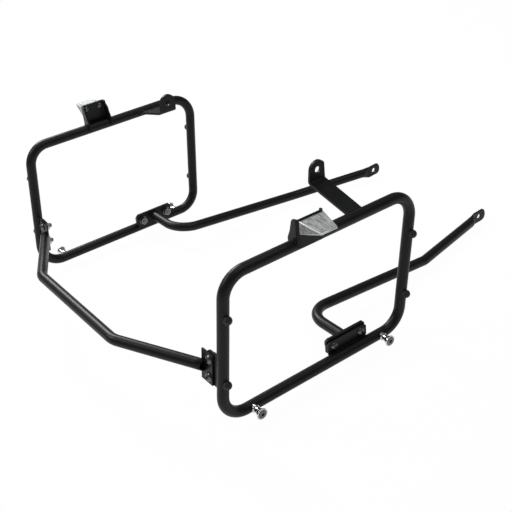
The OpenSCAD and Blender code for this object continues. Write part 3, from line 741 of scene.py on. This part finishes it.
class PANNIER_OT_struts(bpy.types.Operator):
    """Bend the struts, press their ends flat, bore the eyes and dress the joint plates"""

    bl_idname = "pannier.struts"
    bl_label = "Struts"

    def execute(self, context):
        s = context.scene.pannier_tubes
        origin, foot = hoop_origin(), hoop_points()[0].x / MM - STUB_IN
        for side, sign in SIDES.items():
            line = [
                (foot, STUB_Y, STUB_RISE),
                (foot - STUB_RUN, STUB_Y, STUB_RISE),
                STRUT_BEND,
                EYES[side],
            ]
            points = [origin + Vector(p) * MM for p in line]
            eye, run = points[3], (points[3] - points[2]).normalized()
            points[3] = eye - run * (EYE_START * MM / run.y)
            bm = bmesh.new()
            root, edges = sweep_tube(bm, points, s.strut_bend, s.tube_d / 2)
            bmesh.ops.edgeloop_fill(bm, edges=root)
            self.press(bm, edges, points[3], eye, s.tube_d / 2)
            if sign < 0:
                bmesh.ops.transform(bm, matrix=MIRROR, verts=bm.verts)
            piece = make_piece(bm, "strut_tube_" + side, "black_coat", ["strut_" + side])
            self.bore(piece, Vector((sign * eye.x, eye.y, eye.z)))
        for node in pair("strut_plate"):
            dress(node, "black_coat", context.scene.pannier_details.edge)
        return {"FINISHED"}

    def press(self, bm, edges, start, eye, radius):
        """Carries the round end of a tube on into a flat eye with a rounded tip."""
        tilt = Matrix.Rotation(EYE_TILT, 3, "X")
        fold = eye + tilt @ Vector((0, -EYE_FOLD * MM, 0))
        half, corner, reach = EYE_HALF * MM, EYE_CORNER * MM, EYE_REACH * MM

        # Each stop has its place, its share of the change from round to flat, and its half height
        shares = [k / EYE_STEPS for k in range(1, EYE_STEPS + 1)]
        stops = [(start.lerp(fold, share), share, half) for share in shares]
        stops.append((eye + tilt @ Vector((0, reach - corner, 0)), 1.0, half))
        for share in shares:
            turn = math.pi / 2 * share
            out, high = corner * math.sin(turn), half - corner + corner * math.cos(turn)
            stops.append((eye + tilt @ Vector((0, reach - corner + out, 0)), 1.0, high))

        # Each ring's points are shifted on, then moved from their round place to their flat one
        here = start
        marks = [(v.co.copy(), v.co - start) for v in corners(edges)]
        for spot, share, high in stops:
            shift = spot - here
            edges = run_on(bm, edges, shift)
            here, ease, placed = spot, share * share * (3 - 2 * share), []
            for vert in corners(edges):
                before = vert.co - shift
                round_off = min(marks, key=lambda mark: (mark[0] - before).length)[1]
                wide, tall = round_off.x / radius, round_off.z / radius
                flat_x = EYE_FLAT * MM * math.copysign(abs(wide) ** EYE_SQUARE, wide)
                pressed = Vector((flat_x, 0, 0)) + tilt @ Vector((0, 0, high * tall))
                vert.co = spot + round_off.lerp(pressed, ease)
                placed.append((vert.co.copy(), round_off))
            marks = placed
        bmesh.ops.edgeloop_fill(bm, edges=edges)

    def bore(self, piece, spot):
        """Drills the hole of an eye, along X."""
        bm = bmesh.new()
        bmesh.ops.create_cone(
            bm,
            cap_ends=True,
            segments=48,
            radius1=EYE_HOLE * MM,
            radius2=EYE_HOLE * MM,
            depth=2 * EYE_HALF * MM,
            matrix=Matrix.Translation(spot) @ facing(X),
        )
        cut_away(piece, bm)


class PANNIER_OT_brackets(bpy.types.Operator):
    """Dress the lugs, the straps and the hook brackets"""

    bl_idname = "pannier.brackets"
    bl_label = "Lugs and brackets"

    def execute(self, context):
        for name in ("rear_lug", "foot_lug", "strap_bracket", "hook_bracket"):
            for node in pair(name):
                dress(node, "black_coat", context.scene.pannier_details.edge)
        return {"FINISHED"}


class PANNIER_OT_wedges(bpy.types.Operator):
    """Dress the aluminium wedges that catch the cases"""

    bl_idname = "pannier.wedges"
    bl_label = "Wedges"

    def execute(self, context):
        for node in pair("hook_wedge"):
            # the wedges' edges get a paler finish, a painted highlight
            dress(node, "brushed_aluminium", context.scene.pannier_details.bevel, "painted_highlight_edge")
        return {"FINISHED"}


class PANNIER_OT_bolts(bpy.types.Operator):
    """Dress the bolts, screws and nuts, and cut the threads that show"""

    bl_idname = "pannier.bolts"
    bl_label = "Bolts and nuts"

    def execute(self, context):
        details = context.scene.pannier_details
        for name, slot, share in (
            ("hook_screws", "black_steel", 0.6),
            ("crossbar_bolts", "black_steel", 0.6),
            ("strut_bolts", "black_steel", 0.6),
            ("crossbar_nuts", "zinc", 0.5),
            # the strut nuts' zinc is darkened as painted shade
            ("strut_nuts", "zinc_painted_shade", 0.5),
        ):
            for node in pair(name):
                dress(node, slot, details.edge * share)
        core, root, crest = (r * MM for r in (THREAD_CORE, THREAD_ROOT, THREAD_CREST))
        ridges = [(core, 0.0)]
        for k in range(THREAD_TURNS):
            for radius, share in ((root, 0.1), (crest, 0.5), (root, 0.9)):
                ridges.append((radius, details.pitch * (k + share)))
        ridges.append((core, details.pitch * THREAD_TURNS))
        bm = bmesh.new()
        joint = joint_frame()
        for rise in (-BOLT_RISE, BOLT_RISE):
            spot = joint @ (Vector((-BOLT_IN, THREAD_START, rise)) * MM)
            turned(bm, ridges, spot, joint.to_3x3() @ Y)
        both_sides(bm)
        make_piece(bm, "bolt_threads", "black_steel")
        return {"FINISHED"}


class PANNIER_OT_spools(bpy.types.Operator):
    """Dress the chromed spools and their screws"""

    bl_idname = "pannier.spools"
    bl_label = "Spools"

    def execute(self, context):
        edge = context.scene.pannier_details.edge / 2
        for end in ("rear", "front"):
            for node in pair("spool_" + end):
                dress(node, "chrome", edge)
            for node in pair("spool_screw_" + end):
                dress(node, "black_steel", edge)
        return {"FINISHED"}


class PANNIER_OT_buttons(bpy.types.Operator):
    """Dress the rubber buttons on the legs"""

    bl_idname = "pannier.buttons"
    bl_label = "Buttons"

    def execute(self, context):
        for place in ("rear_low", "rear_high", "front_low", "front_high"):
            for node in pair("button_" + place):
                dress(node, "rubber", context.scene.pannier_details.edge * 0.75)
        return {"FINISHED"}


class PANNIER_OT_welds(bpy.types.Operator):
    """Lay the weld beads that join the plates to the tubes"""

    bl_idname = "pannier.welds"
    bl_label = "Weld beads"

    def execute(self, context):
        tube = context.scene.pannier_tubes.tube_d / 2 / MM
        origin, points = hoop_origin(), hoop_points()
        foot = Matrix.Translation((points[0].x, origin.y, origin.z))
        top = Matrix.Translation((points[2].x, origin.y, points[2].z))

        # The same on both sides. Rear lugs: one bead along each plate's edge on the leg
        bm = bmesh.new()
        for y in (-0.4, 3.4):
            self.lay(bm, joint_frame(), [(-9.1, y, z) for z in (-25, 0, 26.5)])

        # Foot lugs: one bead along each edge of the sheet on the rail, and one round the strut
        for x, z in ((-5.6, 7.2), (-10.2, 4.2)):
            self.lay(bm, foot, [(x, y, z) for y in (STUB_Y - 38, STUB_Y + 38)], 0.9)
        stub = Vector((-STUB_IN - 0.2, STUB_Y, STUB_RISE))
        self.lay(bm, foot, arc(stub, X, Z, tube + 0.6, math.tau * 0.995, 48))

        # Hook brackets: one bead round the rail at each end, and one along the bracket's foot
        start = Vector((-math.cos(0.1), 0, math.sin(-0.1)))
        for y in (HOOK_Y - HOOK_HALF - 0.3, HOOK_Y + HOOK_HALF + 0.3):
            path = arc(Vector((0, y, 0)), Y, start, tube + 0.4, math.pi * 0.93, 40)
            self.lay(bm, top, path, 0.8)
        self.lay(bm, top, [(9.9, y, -2.4) for y in (HOOK_Y - 20, HOOK_Y + 20)], 0.8)
        both_sides(bm)
        make_piece(bm, "weld_beads", "black_coat")

        # The two straps differ: one bead along each edge of the sheet on the upper rail
        bm = bmesh.new()
        for x, z in ((-5.4, 7.9), (-8.5, 3.7)):
            self.lay(bm, top, [(x, y, z) for y in (63.5, 91)], 0.8)
        make_piece(bm, "weld_bead_strap_right", "black_coat")
        bm = bmesh.new()
        for x, z in ((-9.0, 2.9), (-9.2, -2.0)):
            self.lay(bm, MIRROR @ top, [(x, y, z) for y in (66, 126.5)], 0.8)
        make_piece(bm, "weld_bead_strap_left", "black_coat")
        return {"FINISHED"}

    def lay(self, bm, place, path, size=1.0):
        """Lays one bead along a path given in millimetres from a place on the frame."""
        details = bpy.context.scene.pannier_details
        points = [place @ (Vector(p) * MM) for p in path]
        bead(bm, points, details.bead * size, details.ripple)


class PANNIER_OT_studio(bpy.types.Operator):
    """Set up the floor, the soft lamps and the camera"""

    bl_idname = "pannier.studio"
    bl_label = "Studio"

    def execute(self, context):
        context.scene.view_settings.view_transform = "Standard"
        self.lay_floor(context.scene)
        self.light_room(context.scene)
        for name, spot, size, power in LAMPS:
            self.hang_lamp(context.scene, name, Vector(spot), size, power)
        self.place_camera(context.scene)
        return {"FINISHED"}

    def lay_floor(self, scene):
        """White paper: nearly all of what the camera sees of it is its own white, and the rest
        takes the light, so the frame keeps a faint shadow. Highlights see less of that white,
        and it lights nothing."""
        bm = bmesh.new()
        bmesh.ops.create_grid(bm, x_segments=1, y_segments=1, size=FLOOR_HALF)
        mesh = bpy.data.meshes.new("floor")
        bm.to_mesh(mesh)
        bm.free()
        floor = bpy.data.objects.new("floor", mesh)
        scene.collection.objects.link(floor)
        paper = bpy.data.materials.new("White paper")
        paper.use_nodes = True
        tree = paper.node_tree
        tree.nodes.clear()
        matt = add_node(tree, "ShaderNodeBsdfDiffuse", {"Color": (*linear("#f0f0f0"), 1)})
        white = add_node(tree, "ShaderNodeEmission", {"Strength": 1.0})
        rays = add_node(tree, "ShaderNodeLightPath")
        gloss = arithmetic(tree, "MULTIPLY", rays.outputs["Is Glossy Ray"], FLOOR_GLOSS)
        seen = arithmetic(tree, "MAXIMUM", gloss, rays.outputs["Is Camera Ray"])
        share = arithmetic(tree, "MULTIPLY", seen, FLOOR_WHITE)
        mix = mix_shaders(tree, share, matt.outputs["BSDF"], white.outputs["Emission"])
        add_node(tree, "ShaderNodeOutputMaterial", links={"Surface": mix})
        floor.data.materials.append(paper)
        paper.cycles.emission_sampling = "NONE"

    def light_room(self, scene):
        """White where the camera sees it, dim where it lights the frame, and dimmer still in
        highlights, so that the lamps alone draw the bright lines along the tubes."""
        world = bpy.data.worlds.new("Room")
        scene.world = world
        world.use_nodes = True
        world.cycles.sampling_method = "NONE"
        tree = world.node_tree
        tree.nodes.clear()
        plain = {"Color": (1, 1, 1, 1), "Strength": 1.0}
        dim = add_node(tree, "ShaderNodeBackground", {"Strength": ROOM_LIGHT})
        white = add_node(tree, "ShaderNodeBackground", plain)
        way = add_node(tree, "ShaderNodeTexCoord").outputs["Generated"]
        parts = add_node(tree, "ShaderNodeSeparateXYZ", links={"Vector": way})
        low, high = ROOM_GLOSS
        walls = add_node(
            tree,
            "ShaderNodeMapRange",
            {"From Min": 0.02, "From Max": 0.4, "To Min": low, "To Max": high},
            {"Value": parts.outputs["Z"]},
        )
        room = add_node(
            tree, "ShaderNodeBackground", plain, {"Strength": walls.outputs["Result"]}
        )
        rays = add_node(tree, "ShaderNodeLightPath")
        dim, room, white = (node.outputs["Background"] for node in (dim, room, white))
        gloss = mix_shaders(tree, rays.outputs["Is Glossy Ray"], dim, room)
        mix = mix_shaders(tree, rays.outputs["Is Camera Ray"], gloss, white)
        add_node(tree, "ShaderNodeOutputWorld", links={"Surface": mix})

    def hang_lamp(self, scene, name, spot, size, power):
        """A square soft lamp that faces the middle of the frame."""
        data = bpy.data.lights.new(name, "AREA")
        data.size = size
        data.energy = power
        lamp = bpy.data.objects.new(name, data)
        lamp.matrix_world = Matrix.Translation(spot) @ facing(spot - LAMP_AIM)
        scene.collection.objects.link(lamp)

    def place_camera(self, scene):
        """The camera of the picture: its lens, its place, and the way it looks and leans."""
        turn, rise, roll = (math.radians(v) for v in (CAMERA_TURN, CAMERA_RISE, CAMERA_ROLL))
        back = Vector(
            (math.sin(turn) * math.cos(rise), -math.cos(turn) * math.cos(rise), math.sin(rise))
        )
        right = (-back).cross(Z).normalized()
        up = right.cross(-back)
        x_axis = math.cos(roll) * right + math.sin(roll) * up
        y_axis = -math.sin(roll) * right + math.cos(roll) * up
        data = bpy.data.cameras.new("Camera")
        data.sensor_width = SENSOR
        data.lens = CAMERA_LENS / PICTURE * SENSOR
        data.shift_x = -0.5 / PICTURE
        data.shift_y = 0.5 / PICTURE
        camera = bpy.data.objects.new("Camera", data)
        look = Matrix((x_axis, y_axis, back)).transposed().to_4x4()
        camera.matrix_world = Matrix.Translation(Vector(CAMERA_SPOT) * MM) @ look
        scene.collection.objects.link(camera)
        scene.camera = camera


PIECES = (
    PANNIER_OT_hoops,
    PANNIER_OT_crossbar,
    PANNIER_OT_struts,
    PANNIER_OT_brackets,
    PANNIER_OT_wedges,
    PANNIER_OT_bolts,
    PANNIER_OT_spools,
    PANNIER_OT_buttons,
    PANNIER_OT_welds,
    PANNIER_OT_studio,
)


class PANNIER_PT_sidebar(bpy.types.Panel):
    """Lists the pieces of the pannier frame with their sizes and colours"""

    bl_idname = "PANNIER_PT_sidebar"
    bl_label = "Pannier frame"
    bl_space_type = "VIEW_3D"
    bl_region_type = "UI"
    bl_category = "Pannier frame"

    def draw(self, context):
        for group in GROUPS:
            values = getattr(context.scene, group)
            column = self.layout.column()
            for name in values.__annotations__:
                column.prop(values, name)
        for piece in PIECES:
            self.layout.operator(piece.bl_idname)


GROUPS = {
    "pannier_tubes": PANNIER_PG_tubes,
    "pannier_details": PANNIER_PG_details,
    "pannier_colours": PANNIER_PG_colours,
}


def register():
    for group in GROUPS.values():
        bpy.utils.register_class(group)
    for name, group in GROUPS.items():
        setattr(bpy.types.Scene, name, PointerProperty(type=group))
    for piece in PIECES:
        bpy.utils.register_class(piece)
    bpy.utils.register_class(PANNIER_PT_sidebar)


def unregister():
    bpy.utils.unregister_class(PANNIER_PT_sidebar)
    for piece in reversed(PIECES):
        bpy.utils.unregister_class(piece)
    for name, group in reversed(GROUPS.items()):
        delattr(bpy.types.Scene, name)
        bpy.utils.unregister_class(group)


def main():
    register()
    for piece in PIECES:
        area, name = piece.bl_idname.split(".")
        getattr(getattr(bpy.ops, area), name)()


if __name__ == "__main__":
    main()
